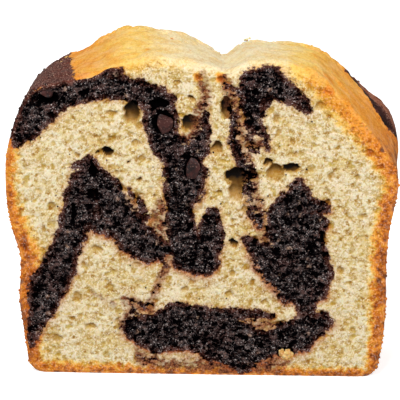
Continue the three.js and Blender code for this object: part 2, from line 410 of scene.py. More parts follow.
SHALLOW_BUBBLES = {  # by how deep they are: x, z, half width, half height
    0.52: [
        (19.2, 65.4, 0.8, 0.8), (-30.6, 29.5, 0.9, 0.8),
    ],
    0.6: [
        (22.8, 63.0, 0.9, 0.9), (23.6, 59.8, 0.8, 0.8), (39.6, 53.8, 1.0, 1.0), (32.8, 54.1, 1.0, 1.2),
        (-34.0, 14.7, 0.9, 0.9), (-23.9, 23.8, 1.2, 1.0), (-17.0, 29.9, 1.2, 1.0),
        (-41.0, 39.0, 0.6, 1.3), (-22.3, 14.5, 0.9, 0.8), (-2.6, 25.4, 0.9, 0.8), (16.0, 20.0, 0.9, 0.9),
        (-16.8, 62.2, 1.3, 0.9), (-15.5, 58.0, 1.2, 1.3), (7.9, 42.1, 0.9, 0.8), (16.5, 66.0, 0.7, 1.0),
    ],
    0.68: [
        (32.3, 76.5, 1.9, 0.9), (29.5, 72.3, 1.5, 1.3), (18.8, 69.1, 1.2, 1.6), (42.4, 60.1, 1.4, 1.2),
        (-27.2, 33.9, 1.8, 1.1), (-29.0, 12.9, 1.8, 1.2), (-38.0, 9.3, 1.7, 1.0),
        (-32.4, 20.6, 1.4, 1.8), (-38.7, 45.0, 0.9, 1.6), (-47.0, 43.7, 0.6, 1.3),
        (-4.8, 23.3, 1.2, 0.9), (7.8, 27.9, 1.2, 1.1), (13.0, 25.2, 0.8, 1.3), (6.7, 22.1, 1.2, 1.0),
        (41.1, 43.7, 1.2, 0.8), (-23.0, 69.8, 1.5, 1.0), (-32.0, 58.9, 0.8, 0.7),
        (-21.8, 54.3, 1.0, 0.8), (-6.5, 78.0, 1.1, 0.9), (-1.0, 79.3, 1.2, 0.8), (-16.0, 66.7, 1.2, 1.6),
    ],
    0.75: [
        (35.6, 29.0, 0.8, 1.4), (10.6, 44.7, 1.3, 1.2), (-23.2, 63.0, 1.5, 1.3), (-43.5, 21.0, 0.9, 0.8),
        (-44.0, 18.0, 0.8, 0.8),
    ],
}
for deep, found in SHALLOW_BUBBLES.items():
    BUBBLES += [(*bubble, deep, PALE_INSIDE) for bubble in found]


def opened_bubbles(points):
    """How deep the named bubbles reach in from the front cut face, and the shade painted in them."""
    x = points[:, 0] + 0.5 * noise(points, 1.8, 41) + 0.28 * noise(points, 0.7, 43)
    z = points[:, 2] + 0.5 * noise(points, 1.6, 42) + 0.28 * noise(points, 0.7, 44)
    depth = np.zeros(len(points))
    dark = np.zeros(len(points))
    for bx, bz, wide, high, deep, gloom in BUBBLES:
        reach = np.hypot((x - bx) / wide, (z - bz) / high)
        inside = 1 - smooth(0.45, 1.12, reach)
        depth = np.maximum(depth, deep * inside)
        # Painted shade, darker towards each bubble's top, under its lip.
        shade = gloom - 0.32 * smooth(0.4, -0.9, (z - bz) / high)
        dark = np.maximum(dark, shade * smooth(0.1, 0.5, inside))
    return depth, dark


def torn_depth(points, gap, angle, cocoa, salt):
    """How deep the torn surface of a cut face lies under the knife's plane, in mm, and how much each
    point lies in a pore. The cocoa crumb is moister, and tore into coarser lumps."""
    moist = smooth(0.5, -0.5, cocoa)
    bends = [noise(points, 1.3, salt + side) + 0.6 * noise(points, 0.6, salt + side + 2) for side in (0, 1)]
    flat = points[:, [0, 2]] * np.array([0.9, 1.1]) + 0.32 * np.stack(bends, axis=1)
    depth = np.zeros(len(points))
    pore = np.zeros(len(points))
    for spacing, share, radii, deep, layer in (
        (1.0, 0.50, (0.20, 0.42), 0.80, 10),
        (2.1, 0.55, (0.32, 0.80), 0.65, 20),
        (4.3, 0.34, (0.60, 1.20), 0.55, 30),
    ):
        bowl, radius = pits(flat, spacing, share, radii, salt + layer)
        depth = np.maximum(depth, bowl * radius * deep * (0.55 + 1.0 * moist))
        pore = np.maximum(pore, bowl)
    torn = 0.08 * noise(points, 1.9, salt + 41) + 0.12 * noise(points, 0.8, salt + 42)
    lumps = 0.40 * noise(points, 2.0, salt + 43) + 0.30 * noise(points, 0.9, salt + 44)
    up = np.degrees(angle) % 360
    crown = smooth(30, 55, up) * smooth(140, 115, up)
    fade = smooth(0.1, 1.6 + 2.0 * crown, gap)
    depth = 0.12 + depth * (0.25 + 0.75 * fade) + torn * (0.4 + 0.6 * fade) + (lumps + 0.15) * moist * fade
    return np.clip(depth, 0, None), pore * fade


def in_hollows(depth, columns, rows):
    """How far each point of a woven face lies in a hollow, from 0 to 1."""
    height = depth.reshape(rows + 1, columns + 1)
    around = height
    for axis in (0, 1, 0, 1):
        padded = np.pad(around, [(2, 2) if side == axis else (0, 0) for side in (0, 1)], "edge")
        shifted = [np.take(padded, np.arange(step, step + height.shape[axis]), axis) for step in range(5)]
        around = np.mean(shifted, axis=0)
    return smooth(0.0, 0.55, height - around).ravel()


def face_grid(y, columns, rows):
    """Flat points of a cut face, woven between its four sides, row by row from the foot up."""
    foot_left, foot_right, top_right, top_left = CORNERS
    foot, top, left, right = (
        skin_points(even_angles(*ends, y), y, UNDER_CRUST)[:, [0, 2]]
        for ends in (
            (foot_left, foot_right, columns),
            (top_left, top_right, columns),
            (foot_left, top_left - FULL_TURN, rows),
            (foot_right, top_right, rows),
        )
    )
    across = np.linspace(0, 1, columns + 1)[None, :, None]
    up = np.linspace(0, 1, rows + 1)[:, None, None]
    woven = (1 - up) * foot[None] + up * top[None] + (1 - across) * left[:, None] + across * right[:, None]
    foot_corners, top_corners = ((1 - across) * edge[0] + across * edge[-1] for edge in (foot, top))
    corners = (1 - up) * foot_corners + up * top_corners
    flat = (woven - corners).reshape(-1, 2)
    return np.stack([flat[:, 0], np.full(len(flat), y), flat[:, 1]], axis=1)


def grid_quads(columns, rows, first, flip):
    """Quads of a grid whose points were made row by row."""
    corner = (np.arange(rows)[:, None] * (columns + 1) + np.arange(columns)[None]).ravel() + first
    quads = np.stack([corner, corner + 1, corner + columns + 2, corner + columns + 1], axis=1)
    return quads[:, ::-1] if flip else quads


def grid_rim(columns, rows, first):
    """The grid's outer points in order: foot, right, top, left."""
    last_row = rows * (columns + 1)
    foot = np.arange(columns)
    right = np.arange(rows) * (columns + 1) + columns
    top = last_row + np.arange(columns, 0, -1)
    left = np.arange(rows, 0, -1) * (columns + 1)
    return np.concatenate([foot, right, top, left]) + first


def gap_to_skin(points, y):
    """How far each point of a cut face is from the skin, and the angle of the skin nearest to it."""
    angle = np.linspace(-math.pi, math.pi, SKIN_SAMPLES, endpoint=False)
    tree = kdtree.KDTree(len(angle))
    for i, place in enumerate(skin_points(angle, y)):
        tree.insert(place, i)
    tree.balance()
    found = [tree.find(place) for place in points.tolist()]
    return np.array([distance for _, _, distance in found]), angle[[i for _, i, _ in found]]


# Painted shade for open pores, warm like light that scattered in the crumb: it scales the crumb's colour.
PORE_SHADE = srgb(206, 174, 80) / srgb(240, 223, 184)
STAIN_COLOUR = srgb(178, 96, 38)


def crumb_paint(points, gap, angle, cocoa, pore):
    """Colour of the pale crumb at points of a cut face, with painted shade in its open pores."""
    colour = baked_colour(points, gap, angle)
    above = cocoa_distance(points + np.array([0, 0, 0.8]), 0)
    below = cocoa_distance(points - np.array([0, 0, 0.8]), 0)
    under = np.clip((below - above) / 1.6, 0, 1)  # 1 where the ribbon hangs over the crumb
    low = 0.25 + 0.75 * smooth(56, 42, points[:, 2])
    stain = np.exp(-np.clip(cocoa, 0, None) / 1.1) * (0.15 + 0.85 * under) * low
    # Painted shade in the open pores.
    open_pore = smooth(0.05, 0.7, pore) * (0.8 + 0.4 * noise(points, 3, 54))
    for amount, tone in ((open_pore, colour * PORE_SHADE), (stain, STAIN_COLOUR)):
        amount = np.clip(amount, 0, 1)[:, None]
        colour = colour * (1 - amount) + tone * amount
    return colour


def mesh_piece(name, points, faces, material):
    """A piece from points in mm and lists of faces."""
    mesh = bpy.data.meshes.new(name)
    mesh.vertices.add(len(points))
    mesh.vertices.foreach_set("co", (points * MM).astype(np.float32).ravel())
    sizes = np.concatenate([np.full(len(block), block.shape[1]) for block in faces])
    mesh.loops.add(int(sizes.sum()))
    order = np.concatenate([block.ravel() for block in faces])
    mesh.loops.foreach_set("vertex_index", order.astype(np.int32))
    mesh.polygons.add(len(sizes))
    starts = np.concatenate([[0], np.cumsum(sizes)[:-1]])
    mesh.polygons.foreach_set("loop_start", starts.astype(np.int32))
    mesh.update(calc_edges=True)
    mesh.validate()
    mesh.polygons.foreach_set("use_smooth", np.ones(len(mesh.polygons), bool))
    mesh.materials.append(material)
    piece = bpy.data.objects.new(name, mesh)
    bpy.context.scene.collection.objects.link(piece)
    return piece


def store(piece, name, values):
    """Keeps one number, or one colour, for each point of a piece, for its material to read."""
    if values.ndim == 1:
        kept = piece.data.attributes.new(name, "FLOAT", "POINT")
        kept.data.foreach_set("value", values.astype(np.float32))
    else:
        kept = piece.data.attributes.new(name, "FLOAT_COLOR", "POINT")
        opaque = np.pad(values, ((0, 0), (0, 1)), constant_values=1)
        kept.data.foreach_set("color", opaque.astype(np.float32).ravel())


def zip_rings(one, other, flip):
    """Triangles between two rings of points that have different counts."""
    triangles = []
    i = j = 0
    while i < len(one) or j < len(other):
        a, b = one[i % len(one)], other[j % len(other)]
        if j >= len(other) or (i < len(one) and (i + 1) / len(one) <= (j + 1) / len(other)):
            i += 1
            triangles.append((a, one[i % len(one)], b))
        else:
            j += 1
            triangles.append((a, other[j % len(other)], b))
    triangles = np.array(triangles)
    return triangles[:, ::-1] if flip else triangles


class Finish:
    """A material and short ways to add its nodes. Sizes of patterns are in mm."""

    def __init__(self, name):
        self.material = bpy.data.materials.new(name)
        self.material.use_nodes = True
        self.tree = self.material.node_tree
        self.shader = self.tree.nodes["Principled BSDF"]
        self.place = self.tree.nodes.new("ShaderNodeTexCoord").outputs["Object"]

    def node(self, kind, links=(), **settings):
        made = self.tree.nodes.new(kind)
        for key, value in settings.items():
            setattr(made, key, value)
        for key, value in dict(links).items():
            self.feed(made.inputs[key], value)
        return made

    def feed(self, socket, value):
        """Links a socket to what another node works out, or sets it to a plain value."""
        if isinstance(value, bpy.types.NodeSocket):
            self.tree.links.new(value, socket)
        elif socket.type == "RGBA":
            socket.default_value = (*value[:3], 1)
        else:
            socket.default_value = value

    def attribute(self, name, output="Fac"):
        return self.node("ShaderNodeAttribute", attribute_name=name).outputs[output]

    def scaled(self, size, stretch=(1, 1, 1)):
        """The piece's own coordinates, in steps of size mm."""
        links = {"Vector": self.place, "Scale": [share / (size * MM) for share in stretch]}
        return self.node("ShaderNodeMapping", links).outputs[0]

    def noise(self, size, detail=2.0, rough=0.5, stretch=(1, 1, 1)):
        links = {"Vector": self.scaled(size, stretch), "Scale": 1.0, "Detail": detail, "Roughness": rough}
        return self.node("ShaderNodeTexNoise", links).outputs["Fac"]

    def cells(self, size, output="Distance"):
        """Distance to the nearest of scattered points, or that point's own random colour. The cells
        are bent, so that no spot comes out round."""
        place = self.scaled(size)
        bend = self.node("ShaderNodeTexNoise", {"Vector": place, "Scale": 2.2, "Detail": 2.0})
        links = {0: bend.outputs["Color"], 1: (0.7, 0.7, 0.7), 2: place}
        bent = self.node("ShaderNodeVectorMath", links, operation="MULTIPLY_ADD").outputs[0]
        return self.node("ShaderNodeTexVoronoi", {"Vector": bent, "Scale": 1.0}).outputs[output]

    def math(self, operation, one, other=0.0, third=0.0):
        return self.node("ShaderNodeMath", {0: one, 1: other, 2: third}, operation=operation).outputs[0]

    def times(self, one, other):
        return self.math("MULTIPLY", one, other)

    def spread(self, value, low, high, to_low=0.0, to_high=1.0):
        links = {"Value": value, "From Min": low, "From Max": high, "To Min": to_low, "To Max": to_high}
        return self.node("ShaderNodeMapRange", links).outputs[0]

    def mix(self, share, one, other, blend="MIX"):
        links = {0: share, 6: one, 7: other}
        return self.node("ShaderNodeMix", links, data_type="RGBA", blend_type=blend).outputs[2]

    def stained(self, colour, red, green, blue):
        """A colour multiplied by another one, 0 to 255."""
        return self.mix(1.0, colour, srgb(red, green, blue), "MULTIPLY")

    def use(self, key, value):
        self.feed(self.shader.inputs[key], value)

    def bump(self, height, depth, strength):
        """Relief finer than the mesh: height from 0 to 1 stands for depth in mm."""
        links = {"Height": height, "Distance": depth * MM, "Strength": strength}
        self.use("Normal", self.node("ShaderNodeBump", links).outputs[0])


class CakeFinish(Finish):
    """Baked batter, pale or cocoa, from torn crumb to dry skin. Each point of the piece keeps its pale
    colour, its distance to the cocoa, how far the two ran together, how much of it is skin, and how deep
    it lies in a hollow, which sets how much shade is painted there."""

    def __init__(self, name):
        super().__init__(name)
        self.tint = self.attribute("tint", "Color")
        self.cocoa = self.attribute("cocoa")
        self.blend = self.attribute("blend")
        self.skin = self.attribute("skin")
        self.hollow = self.attribute("hollow")
        self.crumbly = self.spread(self.skin, 0, 1, 1, 0.15)
        self.grain = self.noise(0.5, 3, 0.68)
        self.lumps = self.noise(1.3, 3, 0.6, (0.7, 1, 1.2))
        self.fine = self.noise(0.34, 1)
        self.web = self.cells(0.85)
        self.both = self.math("MULTIPLY_ADD", self.grain, 0.5, self.times(self.lumps, 0.5))
        moist = self.math("ADD", self.both, self.spread(self.noise(3.4, 1), 0.3, 0.7, -0.045, 0.04))
        # Lumps against gaps, lowered in hollows: the cocoa's black gaps and hollows are partly painted
        # shade.
        self.moist = self.math("MULTIPLY_ADD", self.hollow, -0.32, self.math("SUBTRACT", moist, 0.014))
        self.edge = self.math("ADD", self.cocoa, self.spread(self.noise(0.7, 3, 0.6), 0.3, 0.7, -0.4, 0.4))

    def pale_crumb(self):
        """Bright walls round small ochre pores, painted shade in the pores and in the grain's low places,
        and painted white highlights on the grain where it isn't browned.
        """
        pale = self.tint
        # Painted shade: darker in the pores and where grain and lumps lie low. The wide yellower patches are
        # the crumb's own tone.
        for share, tone in (
            (self.spread(self.web, 0.40, 0.14, 0, 0.5), (228, 206, 156)),
            (self.spread(self.noise(5.0, 2), 0.46, 0.62, 0, 0.8), (240, 226, 180)),
            (self.spread(self.cells(4.2), 0.27, 0.16, 0, 0.8), (212, 184, 104)),
            (self.spread(self.cells(2.1), 0.33, 0.18, 0, 0.9), (204, 174, 100)),
            (self.spread(self.both, 0.50, 0.42, 0, 0.8), (220, 202, 168)),
        ):
            pale = self.mix(self.times(share, self.crumbly), pale, self.stained(pale, *tone))
        blue = self.node("ShaderNodeSeparateColor", {0: self.tint}).outputs["Blue"]
        unbaked = self.times(self.spread(blue, 0.04, 0.40, 0.45, 1), self.crumbly)
        # Painted highlights: white on the grain's peaks, where the crumb isn't browned.
        white = self.times(self.spread(self.grain, 0.52, 0.64, 0, 0.85), unbaked)
        return self.mix(white, pale, self.mix(0.5, self.tint, srgb(255, 250, 236)))

    def pale_skin(self, pale):
        """The fine grain and the soft mottling of dry skin, each lighter in places and darker in others."""
        dry = self.spread(self.skin, 0.4, 1)
        grain = self.times(self.spread(self.grain, 0.38, 0.62, -1, 1), dry)
        pale = self.mix(self.times(grain, 0.35), pale, self.mix(0.15, self.tint, srgb(255, 240, 200)))
        pale = self.mix(self.times(grain, -0.35), pale, self.stained(self.tint, 210, 164, 104))
        mottle = self.spread(self.noise(3.2, 2, 0.5, (0.8, 1.0, 1)), 0.38, 0.64, -1, 1)
        mottle = self.times(mottle, dry)
        pale = self.mix(self.times(mottle, 0.5), pale, self.stained(pale, 246, 226, 184))
        return self.mix(self.times(mottle, -0.08), pale, srgb(255, 246, 226))

    def pale_specks(self, pale):
        """Rust-brown specks, painted shade in hollows, and specks of cocoa close to the ribbons."""
        rust = self.times(self.spread(self.cells(1.6), 0.13, 0.08, 0, 0.7), self.crumbly)
        pale = self.mix(rust, pale, self.stained(self.tint, 160, 100, 60))
        # Painted shade in hollows and bubbles: ochre, then brown, then near black in the deepest.
        shade, gloom = self.stained(self.tint, 196, 152, 66), self.stained(self.tint, 110, 82, 40)
        pale = self.mix(self.spread(self.hollow, 0, 0.5, 0, 0.8), pale, shade)
        pale = self.mix(self.spread(self.hollow, 0.5, 0.68), pale, gloom)
        pale = self.mix(self.spread(self.hollow, 0.68, 0.84), pale, srgb(22, 15, 11))
        near = self.times(self.spread(self.cocoa, 4.5, 0.36), self.spread(self.noise(3.5, 2), 0.42, 0.6))
        speck = self.times(self.spread(self.cells(0.8), 0.19, 0.12), near)
        return self.mix(speck, pale, srgb(58, 32, 24))

    def run_together(self, pale):
        """The ruddy halo round a ribbon, and the brown of batters that ran together."""
        halo = self.times(self.spread(self.edge, 0.9, 0.1, 0, 0.55), self.spread(self.skin, 0, 1, 1, 0.36))
        halo = self.times(halo, self.spread(self.noise(5.0, 1), 0.4, 0.6, 0.3, 1.0))
        pale = self.mix(halo, pale, self.stained(pale, 222, 160, 110))
        run = self.mix(self.spread(self.grain, 0.42, 0.60), srgb(86, 39, 25), srgb(192, 122, 76))
        run = self.mix(self.spread(self.blend, 0.5, 1.0, 0, 0.45), run, srgb(78, 33, 21))
        return self.mix(self.times(self.blend, self.spread(self.lumps, 0.58, 0.46, 0.45, 1.0)), pale, run)

    def cocoa_crumb(self):
        """Black gaps, dark lumps, wet strands across them, and a ruddy tone at the edges and in patches. The
        gaps are black partly as painted shade, and the strands are a painted sheen.
        """
        # Darker where the lumps lie low and in hollows: the cocoa's own dark colour, deepened by painted
        # shade.
        dark = srgb(3, 2, 3)
        for low, high, colour in (
            (0.43, 0.50, (20, 14, 17)), (0.51, 0.56, (44, 28, 28)), (0.57, 0.63, (108, 74, 64)),
        ):
            dark = self.mix(self.spread(self.moist, low, high), dark, srgb(*colour))
        # Painted sheen: thin bright strands over the lumps.
        line = self.math("ABSOLUTE", self.math("SUBTRACT", self.noise(0.9, 3, 0.6, (0.6, 1, 1.3)), 0.5))
        strand = self.times(self.spread(line, 0.022, 0.0, 0, 0.9), self.spread(self.moist, 0.43, 0.50))
        dark = self.mix(strand, dark, srgb(118, 86, 76))
        ruddy = self.times(self.spread(self.edge, -1.7, 0.0, 0, 0.9), self.spread(self.moist, 0.38, 0.50))
        dark = self.mix(ruddy, dark, srgb(102, 54, 40))
        patch = self.spread(self.noise(5.5, 1), 0.52, 0.66, 0, 0.65)
        patch = self.times(patch, self.spread(self.moist, 0.46, 0.55))
        return self.mix(patch, dark, srgb(82, 44, 37))

    def cocoa_bits(self, dark):
        """Bits of pale crumb caught in the cocoa, and painted glints of its moisture."""
        own_colour = self.node("ShaderNodeSeparateColor", {0: self.cells(2.6, "Color")}).outputs[0]
        chosen = self.spread(own_colour, 0.80, 0.84)
        bit = self.times(self.spread(self.cells(2.6), 0.30, 0.12, 0, 0.8), chosen)
        bit = self.times(bit, self.spread(self.moist, 0.36, 0.46))
        tone = self.mix(self.spread(self.grain, 0.42, 0.58), srgb(112, 68, 54), srgb(206, 172, 146))
        dark = self.mix(bit, dark, tone)
        # Painted highlights: tiny glints on the moist lumps.
        glint = self.times(self.spread(self.fine, 0.625, 0.68, 0, 0.9), self.spread(self.moist, 0.44, 0.50))
        return self.mix(glint, dark, srgb(196, 184, 180))

    def cocoa_skin(self):
        """Cocoa batter that dried to skin, ruddy and lighter where a ridge rose, partly as painted light on
        its crest, with pale grains and painted shadow in hollows.
        """
        dry = self.mix(self.spread(self.both, 0.40, 0.60), srgb(52, 20, 15), srgb(112, 57, 44))
        ruddy = self.mix(self.spread(self.both, 0.42, 0.58), srgb(110, 54, 36), srgb(186, 118, 84))
        dry = self.mix(self.times(self.blend, 0.85), dry, ruddy)
        dry = self.mix(self.spread(self.fine, 0.60, 0.68, 0, 0.9), dry, srgb(196, 160, 140))
        # Painted shadow, as in the gap under the ridge.
        return self.mix(self.times(self.hollow, 0.85), dry, srgb(34, 20, 20))

    def cocoa_share(self):
        """1 in the ribbons and 0 beside them, in shreds where the batters ran together."""
        shreds = self.times(self.blend, self.spread(self.lumps, 0.35, 0.65, -1, 1))
        edge = self.math("MULTIPLY_ADD", shreds, 1.4, self.edge)
        edge = self.math("MULTIPLY_ADD", self.blend, 0.5, edge)
        return self.spread(edge, 0.2, -0.14)


def cake_finish(name):
    """The finish of crumb, crust and loose crumbs: dull and soft where pale, moist where cocoa."""
    cake = CakeFinish(name)
    pale = cake.run_together(cake.pale_specks(cake.pale_skin(cake.pale_crumb())))
    dark = cake.mix(cake.skin, cake.cocoa_bits(cake.cocoa_crumb()), cake.cocoa_skin())
    share = cake.cocoa_share()
    wet = cake.times(share, cake.math("SUBTRACT", 1.0, cake.skin))
    shine = cake.spread(cake.moist, 0.46, 0.58, 0.0, 0.5)
    cake.use("Base Color", cake.mix(share, pale, dark))
    cake.use("Roughness", cake.spread(wet, 0, 1, 0.72, 0.3))
    cake.use("Specular IOR Level", cake.spread(wet, 0, 1, 0.12, shine))
    cake.use("Subsurface Weight", cake.spread(share, 0, 1, 0.25, 0.0))
    cake.use("Subsurface Radius", (1.0, 0.55, 0.22))
    cake.use("Subsurface Scale", 1.0 * MM)
    height = cake.math("ADD", cake.grain, cake.times(cake.lumps, 0.8))
    height = cake.math("MULTIPLY_ADD", cake.web, cake.times(cake.crumbly, 0.35), height)
    relief = cake.math("ADD", cake.spread(cake.skin, 0, 1, 0.42, 0.25), cake.times(wet, 0.55))
    cake.bump(height, 0.45, relief)
    return cake.material


def cut_face(y, columns, rows, salt, bubbles):
    """Points of a cut face and what its material reads at each of them."""
    into = 1 if y == FRONT else -1
    points = face_grid(y, columns, rows)
    gap, angle = gap_to_skin(points, y)
    depth, pore = torn_depth(points, gap, angle, cocoa_distance(points), salt)
    gloom = np.zeros(len(points))
    if bubbles:
        deep, gloom = opened_bubbles(points)
        depth = np.maximum(depth, deep)
        pore = np.maximum(pore, smooth(0.1, 0.7, deep) * (1 - gloom))
    # Painted shade in hollows and in the opened bubbles.
    hollow = np.maximum(0.5 * in_hollows(depth, columns, rows), gloom)
    _, _, radius = baking_at(angle)
    reach = crust_reach(angle)
    points[:, 2] += 0.35 * np.clip(depth - 0.2, 0, 1.2) * smooth(1.0, 3.0, gap)
    points[:, 1] += into * (depth + edge_depth(gap, radius) + 0.45 * smooth(0.75 * reach, 0.35 * reach, gap))
    cocoa = cocoa_distance(points)
    skin = 0.85 * smooth(1.0 + 0.4 * radius, 0.2, gap + 0.5 * noise(points, 1.6, 56))
    return points, {
        "tint": crumb_paint(points, gap, angle, cocoa, pore),
        "cocoa": cocoa,
        "blend": smooth(1.0, -0.4, blended_distance(points)),
        "skin": skin,
        "hollow": hollow,
    }


front, front_looks = cut_face(FRONT, FACE_COLUMNS, FACE_ROWS, 100, True)
back, back_looks = cut_face(BACK, BACK_COLUMNS, BACK_ROWS, 300, False)

first_back = len(front)
first_side = first_back + len(back)
front_rim = grid_rim(FACE_COLUMNS, FACE_ROWS, 0)
back_rim = grid_rim(BACK_COLUMNS, BACK_ROWS, first_back)
rim_angle = angle_of(front[front_rim])
side = []
side_faces = []
ring = front_rim
for step, y in enumerate(np.linspace(FRONT + SIDE_START, BACK - SIDE_START, SIDE_RINGS)):
    side.append(skin_points(rim_angle, y, UNDER_CRUST + 0.1))
    following = first_side + step * len(front_rim) + np.arange(len(front_rim))
    side_faces.append(np.stack([ring, following, np.roll(following, -1), np.roll(ring, -1)], axis=1))
    ring = following
side = np.concatenate(side)

faces = [
    grid_quads(FACE_COLUMNS, FACE_ROWS, 0, False),
    grid_quads(BACK_COLUMNS, BACK_ROWS, first_back, True),
    *side_faces,
    zip_rings(ring, back_rim, True),
]
crumb = mesh_piece("crumb", np.concatenate([front, back, side]), faces, cake_finish("crumb"))
# The side is hidden under the crust, so it is plain gold skin.
side_looks = {"tint": np.broadcast_to(BAKE_COLOURS[2], side.shape)}
for name, value in {"cocoa": 5.0, "blend": 0.0, "skin": 1.0, "hollow": 0.0}.items():
    side_looks[name] = np.full(len(side), value)
for name, hidden in side_looks.items():
    store(crumb, name, np.concatenate([front_looks[name], back_looks[name], hidden]))
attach(crumb, "root")
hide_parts("cake_slice")

# ---------------------------------------------------------------------------------------------------
# The crust: the slice's baked skin, about 0.8 mm thick, browned by the tin at the walls and the foot
# and left pale where the crown split open late. It wraps the crumb and ends at the two cuts.

CRUST_THICKNESS = 0.8
CRUST_ROUND = 1000  # points round the outline
CRUST_ALONG = 68  # rings between the two rounded edges
EDGE_STEPS = 9  # rings round each of those edges


def crust_cocoa(points):
    """Distance in mm to where cocoa batter reached the skin: negative inside. Then the painted shadow in the
    gap under the ridge that it left on the right shoulder, and how ruddy the ridge's crest is, lighter
    partly as painted light."""
    angle = np.degrees(angle_of(points)) % 360
    wander = 0.9 * noise(points, 3.6, 61) + 0.5 * noise(points, 1.2, 62)
    shoulder = np.maximum(points[:, 0] + 32.4 + 0.14 * (points[:, 1] - FRONT), (angle - 157) * 0.7)
    shoulder = np.where(angle > 90, shoulder, 20)
    share = (points[:, 1] - FRONT) / THICKNESS
    off_middle = np.abs((angle - 27 + 180) % 360 - 180)
    start = 0.565 + 0.3 * smooth(3, 15, off_middle)
    ridge = np.maximum((start - share) * THICKNESS, off_middle * 0.75 - 12.5)
    ridge = ridge + 1.2 * noise(points, 6, 65)
    from_cut = smooth(0, 6, THICKNESS / 2 - np.abs(points[:, 1]))
    ribbons = cocoa_distance(points, 0.6) + 0.4 + 4.5 * from_cut * (noise(points, 9, 64) + 0.1)
    ribbons = np.where((angle > 152) & (angle < 300), ribbons, 20)
    # Painted shadow in the gap under the ridge, on its front-facing flank.
    gap = smooth(-2.4, -1.4, ridge + 0.4 * noise(points, 1.5, 63))
    gap = gap * smooth(start + 0.16, start + 0.08, share) * smooth(-0.2, 0.2, wander - ridge)
    # The crest: ruddy and lighter, partly as painted light.
    crest = smooth(start + 0.07, start + 0.15, share + 0.03 * noise(points, 2.5, 66))
    crest = crest * smooth(-0.4, 0.4, wander - ridge)
    return np.minimum(np.minimum(shoulder, ridge), ribbons) + wander, gap, crest


def crust_rings():
    """Rings of skin points from the crust's torn edge at the front to the one at the back, with their
    gap to the skin, and then the same way back along the crust's inner side."""
    around = even_angles(math.pi, -math.pi, CRUST_ROUND, FRONT)[:-1]
    _, _, radius = baking_at(around)
    reach = crust_reach(around)
    rings = []

    def add(y, gap):
        points = skin_points(around, y, gap)
        points[:, 1] = y
        rings.append((np.clip(points, FOOT, PEAK), np.broadcast_to(gap, around.shape)))

    steps = (1 - np.linspace(0, 1, EDGE_STEPS)) ** 2
    add(FRONT + edge_depth(reach + 0.3, radius) + 0.7, reach + 0.3)
    for step in steps:
        add(FRONT + 0.02 + edge_depth(reach * step, radius) + 0.4 * step**2, reach * step)
    for share in np.linspace(0, 1, CRUST_ALONG + 2)[1:-1]:
        add(FRONT + radius + share * (THICKNESS - 2 * radius), 0.0)
    for step in steps[::-1]:
        add(BACK - 0.02 - edge_depth(reach * step, radius) - 0.4 * step**2, reach * step)
    add(BACK - edge_depth(reach + 0.3, radius) - 0.7, reach + 0.3)
    for share in (0.85, 0.68, 0.5, 0.32, 0.15):
        add(FRONT + share * THICKNESS, np.full(len(around), CRUST_THICKNESS))
    return rings


rings = crust_rings()
points = np.concatenate([ring for ring, _ in rings])
gap = np.concatenate([ring_gap for _, ring_gap in rings])
ring_start = np.arange(len(rings)) * CRUST_ROUND
faces = []
for start, following in zip(ring_start, np.roll(ring_start, -1)):
    here = start + np.arange(CRUST_ROUND)
    there = following + np.arange(CRUST_ROUND)
    faces.append(np.stack([here, there, np.roll(there, -1), np.roll(here, -1)], axis=1)[:, ::-1])
crust = mesh_piece("crust", points, faces, cake_finish("crust"))
cocoa, ridge_shadow, crest = crust_cocoa(points)
store(crust, "tint", baked_colour(points, gap, angle_of(points)))
store(crust, "cocoa", cocoa)
store(crust, "skin", np.where(gap > 0, 0.85 * smooth(2.2, 0.4, gap), 1.0))
# The painted shadow under the ridge goes where the crumb keeps its hollows' shade, and the crest, lighter
# partly as painted light, where the crumb keeps its blending.
store(crust, "hollow", ridge_shadow)
store(crust, "blend", crest)
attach(crust, "root")

# ---------------------------------------------------------------------------------------------------
# Chocolate chunks: bits of a bar stirred into the cocoa batter. They softened in the oven and set
# again, and the knife cut them flat, so each shows a smooth face in the rough crumb.

# Each chunk: x, z, half width, half height, how far its cut face lies under the knife's plane, and
# which cut face it shows in.
CHUNKS = [
    (-9.6, 67.0, 2.2, 2.7, 0.25, FRONT), (-2.2, 55.4, 1.9, 2.8, 0.30, FRONT),
    (-39.4, 75.2, 1.9, 1.3, 0.50, FRONT),
    (-9.0, 60.5, 1.8, 1.5, 0.35, BACK), (25.5, 37.0, 1.5, 2.1, 0.35, BACK),
]
CHUNK_ROUND = 40  # points round each of its rings
CHUNK_RINGS = 16


